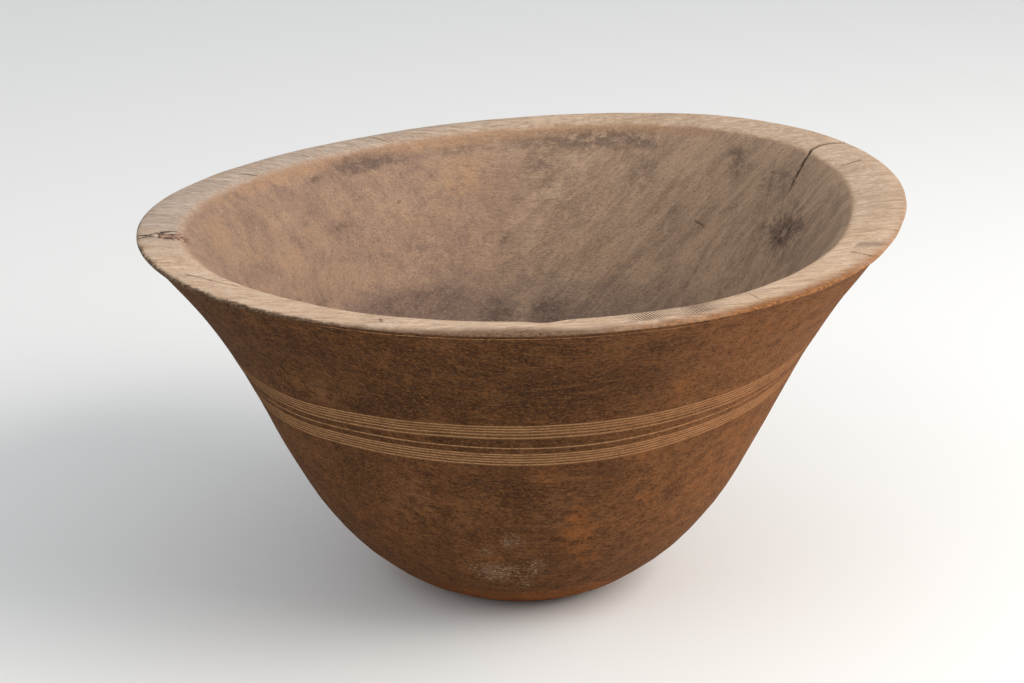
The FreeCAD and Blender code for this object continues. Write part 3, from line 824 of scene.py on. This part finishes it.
    # worn outer edge of the rim: grimy to the left, brown in front, orange to the right
    front = x.ramp(-100.0, -40.0)
    toRight = x.ramp(25.0, 75.0)
    edge = f.blend(front, colour(0.26, 0.19, 0.13), colour(0.43, 0.325, 0.245))
    edge = f.blend(toRight, edge, colour(0.455, 0.30, 0.19))
    bright = f.blend(toRight, colour(0.60, 0.50, 0.41), colour(0.70, 0.48, 0.29))
    edge = f.blend(grit.ramp(0.46, 0.58) * (0.45 + 0.2 * toRight), edge, bright)
    edge = f.blend(grit.ramp(0.46, 0.38) * 0.6, edge, colour(0.20, 0.14, 0.10))
    reach = f.stored("wornEdge") + (dapple - 0.5) * 0.35 + (grit - 0.5) * 0.30 - across
    worn = (reach / (0.06 + 0.16 * front)).ramp(-0.5, 1.2)

    # hollow: tan and purplish to the left, grey with leaning streaks to the right, lightened there as painted
    # light
    hollow = f.blend(mottle.ramp(0.37, 0.63), colour(0.535, 0.435, 0.375), colour(0.615, 0.50, 0.41))
    hollow = f.blend(dapple.ramp(0.46, 0.62) * 0.35, hollow, colour(0.66, 0.54, 0.44))
    hollow = f.blend(dapple.ramp(0.46, 0.34) * 0.35, hollow, colour(0.45, 0.365, 0.32))
    hollow = f.blend(upright.ramp(0.50, 0.64) * 0.25, hollow, colour(0.67, 0.56, 0.47))
    # the right side's grey is partly the wood's tone and partly painted light
    grey = f.blend(layers.ramp(0.36, 0.64), colour(0.56, 0.465, 0.385), colour(0.695, 0.585, 0.485))
    grey = f.blend(leaningFibre.ramp(0.52, 0.64) * 0.40, grey, colour(0.45, 0.36, 0.30))
    grey = f.blend(leaningFibre.ramp(0.46, 0.36) * 0.30, grey, colour(0.75, 0.64, 0.53))
    grey = f.blend(dapple.ramp(0.48, 0.64) * 0.30, grey, colour(0.71, 0.60, 0.49))
    hollow = f.blend((x + (mottle - 0.5) * 80.0).ramp(-30.0, 30.0) * 0.85, hollow, grey)
    low = (z + (dapple - 0.5) * 60.0).ramp(140.0, 95.0)
    hollow = f.blend(low * 0.6, hollow, colour(0.40, 0.345, 0.325))
    hollow = f.blend((warm * torn).ramp(0.1, 1.1) * 0.55, hollow, colour(0.665, 0.515, 0.39))
    hollow = f.blend((pale * torn).ramp(0.1, 1.1) * 0.55, hollow, colour(0.69, 0.58, 0.48))
    hollow = f.blend((dark * torn).ramp(0.1, 1.1) * 0.68, hollow, colour(0.325, 0.265, 0.245))
    hollow = f.blend(fibre.ramp(0.50, 0.64) * 0.32, hollow, colour(0.40, 0.315, 0.265))
    hollow = f.blend(grit.ramp(0.52, 0.62) * 0.38, hollow, colour(0.72, 0.605, 0.50))
    hollow = f.blend(grit.ramp(0.47, 0.38) * 0.42, hollow, colour(0.37, 0.295, 0.25))

    # fibres drawn in around the knot
    toKnot = f.vector("SUBTRACT", spot, tuple(float(v) for v in hollowAt(knot["turn"], knot["height"])))
    far = f.vector("LENGTH", toKnot, output=1)
    rays = f.cloud(f.vector("ADD", f.scaled(f.vector("NORMALIZE", toKnot), (3.5, 3.5, 3.5)),
                            f.scaled(spot, (0.10, 0.10, 0.10))), 1.0, 6.0, 0.75, 0.4)
    smudge = far.ramp(20.0, 4.0) + (dapple - 0.5) * 1.6
    nearKnot = far.ramp(38.0, 10.0)
    hollow = f.blend(nearKnot * rays.ramp(0.48, 0.60) * 0.45, hollow, colour(0.33, 0.265, 0.225))
    hollow = f.blend(nearKnot * rays.ramp(0.47, 0.38) * 0.35, hollow, colour(0.68, 0.575, 0.475))
    hollow = f.blend(smudge.ramp(0.3, 1.0) * 0.55, hollow, colour(0.29, 0.23, 0.195))

    rimShare = (across + (dapple - 0.5) * 0.1).ramp(-0.55, -0.2)
    base = f.blend(rimShare, wall, f.blend(worn, rim, edge))
    base = f.blend((f.stored("turnsIn") + (dapple - 0.5) * 2.0).ramp(0.0, 1.0), base, hollow)
    turn = y.maths("ARCTAN2", x) * perRadian
    chatter = f.stored("chatter") * (turn * 15.0 + across * 8.0 + grit * 2.0).maths("SINE").ramp(-0.5, 0.5)
    base = f.blend(chatter, base, colour(0.235, 0.17, 0.13))
    ragged = 0.75 + 0.5 * grit
    for surface, table in hairlines.items():
        at = rimAt if surface == "rim" else hollowAt
        for start, end, width, strength in table:
            near = f.nearLine(at(*start), at(*end), width, fineFibre) * ragged
            tone = colour(0.22, 0.155, 0.12) if strength > 0 else colour(0.72, 0.62, 0.50)
            base = f.blend(near * abs(strength), base, tone)
    base = f.blend(f.stored("crack").ramp(0.15, 0.7), base, colour(0.09, 0.06, 0.045))
    base = f.blend(f.stored("gash").ramp(0.25, 0.8) * 0.9, base, colour(0.17, 0.115, 0.09))
    base = f.blend(f.stored("pits").ramp(0.3, 0.8) * 0.85, base, colour(0.12, 0.08, 0.06))

    height = fibre * 0.6 + fineFibre * 0.4 + grit * 0.6 + dapple * 0.6 - chatter * 1.6
    bump = f.node("ShaderNodeBump", {}, {"Height": height, "Strength": 0.55, "Distance": 0.0008})
    f.give(base=base, rough=0.72 + 0.2 * fibre, normal=bump, sheen=0.06)
    return f.material


def fillFinish():
    f = Finish("gashFillFinish")
    furrow = f.stored("furrow")
    grain = f.cloud(f.spot, (4.0, 0.6, 0.6), 4.0, 0.65)
    mix = f.cloud(f.spot, (3.0, 1.6, 1.6), 3.0, 0.6)
    base = f.blend(mix.ramp(0.4, 0.6), colour(0.62, 0.47, 0.40), colour(0.70, 0.585, 0.505))
    base = f.blend(mix.ramp(0.46, 0.36) * 0.6, base, colour(0.60, 0.36, 0.29))
    base = f.blend(grain.ramp(0.50, 0.62) * 0.8, base, colour(0.30, 0.19, 0.15))
    base = f.blend(furrow.ramp(-0.1, -0.6) * 0.85, base, colour(0.20, 0.13, 0.10))
    bump = f.node("ShaderNodeBump", {}, {"Height": grain + mix * 0.5, "Strength": 0.7, "Distance": 0.0008})
    f.give(base=base, rough=0.72 + 0.2 * grain, normal=bump, sheen=0.15)
    return f.material


def knotFinish():
    f = Finish("knotFinish")
    middle = tuple(float(v) for v in hollowAt(knot["turn"], knot["height"]))
    toMiddle = f.vector("SUBTRACT", f.spot, middle)
    far = f.vector("LENGTH", toMiddle, output=1)
    rays = f.cloud(f.scaled(f.vector("NORMALIZE", toMiddle), (7.0, 7.0, 7.0)), 1.0, 4.0, 0.6)
    rings = (far * 3.2 + rays * 5.0).maths("SINE").ramp(-0.6, 0.9)
    grit = f.cloud(f.spot, 0.9, 4.0, 0.65)
    base = f.blend(rays.ramp(0.4, 0.6), colour(0.33, 0.265, 0.225), colour(0.54, 0.45, 0.375))
    base = f.blend(rings * 0.3, base, colour(0.27, 0.21, 0.18))
    base = f.blend(grit.ramp(0.55, 0.7) * 0.5, base, colour(0.48, 0.40, 0.34))
    base = f.blend(far.ramp(4.0, 1.2) * 0.6, base, colour(0.66, 0.55, 0.46))
    base = f.blend(f.stored("split").ramp(0.35, 0.9) * 0.75, base, colour(0.13, 0.10, 0.08))
    bump = f.node("ShaderNodeBump", {}, {"Height": rays + grit * 0.5, "Strength": 0.6, "Distance": 0.0006})
    f.give(base=base, rough=0.70 + 0.2 * grit, normal=bump, sheen=0.15)
    return f.material


studio = {
    "floor": (0.80, 0.79, 0.77), "sky": (0.92, 0.96, 1.0), "skyLight": 0.72,
    "lamps": (
        # name, place in metres, aims at, size, watts, colour
        ("window", (1.5, -0.5, 1.3), (0.0, 0.0, 0.12), 1.3, 40.0, (1.0, 0.96, 0.91)),
        ("soft", (-1.4, -1.3, 1.5), (0.0, 0.0, 0.12), 1.6, 9.0, (0.95, 0.97, 1.0)),
    ),
    "lens": 85.0, "cameraPlace": (0.0022, -1.2066, 0.5415), "cameraDown": 18.954, "cameraTurn": 0.291,
}


def aim(piece, target):
    away = np.array(target) - np.array(piece.location)
    flat = math.hypot(away[0], away[1])
    piece.rotation_euler = (math.atan2(flat, -away[2]), 0.0, math.atan2(-away[0], away[1]))


def makeStage():
    mesh = bpy.data.meshes.new("floor")
    mesh.from_pydata([(-6, -6, 0), (6, -6, 0), (6, 6, 0), (-6, 6, 0)], [], [(0, 1, 2, 3)])
    floor = bpy.data.objects.new("floor", mesh)
    bpy.context.scene.collection.objects.link(floor)
    f = Finish("floorFinish")
    f.give(base=studio["floor"] + (1.0,), rough=0.9, sheen=0.1)
    mesh.materials.append(f.material)
    world = bpy.data.worlds.new("studio")
    world.use_nodes = True
    back = world.node_tree.nodes["Background"]
    back.inputs[0].default_value = studio["sky"] + (1.0,)
    back.inputs[1].default_value = studio["skyLight"]
    bpy.context.scene.world = world
    for name, where, target, size, watts, tint in studio["lamps"]:
        light = bpy.data.lights.new(name, "AREA")
        light.size = size
        light.energy = watts
        light.color = tint
        lamp = bpy.data.objects.new(name, light)
        bpy.context.scene.collection.objects.link(lamp)
        lamp.location = where
        aim(lamp, target)
    print("stage: floor and light")


def makeCamera():
    lens = bpy.data.cameras.new("camera")
    lens.lens = studio["lens"]
    lens.sensor_width = 36.0
    lens.clip_start = 0.05
    camera = bpy.data.objects.new("camera", lens)
    bpy.context.scene.collection.objects.link(camera)
    camera.location = studio["cameraPlace"]
    camera.rotation_euler = (math.radians(90 - studio["cameraDown"]), 0.0, math.radians(studio["cameraTurn"]))
    bpy.context.scene.camera = camera
    bpy.context.scene.view_settings.view_transform = "Standard"
    print("stage: camera")


makeBowl().data.materials.append(bowlFinish())
makeGashFill().data.materials.append(fillFinish())
makeKnot().data.materials.append(knotFinish())
makeStage()
makeCamera()
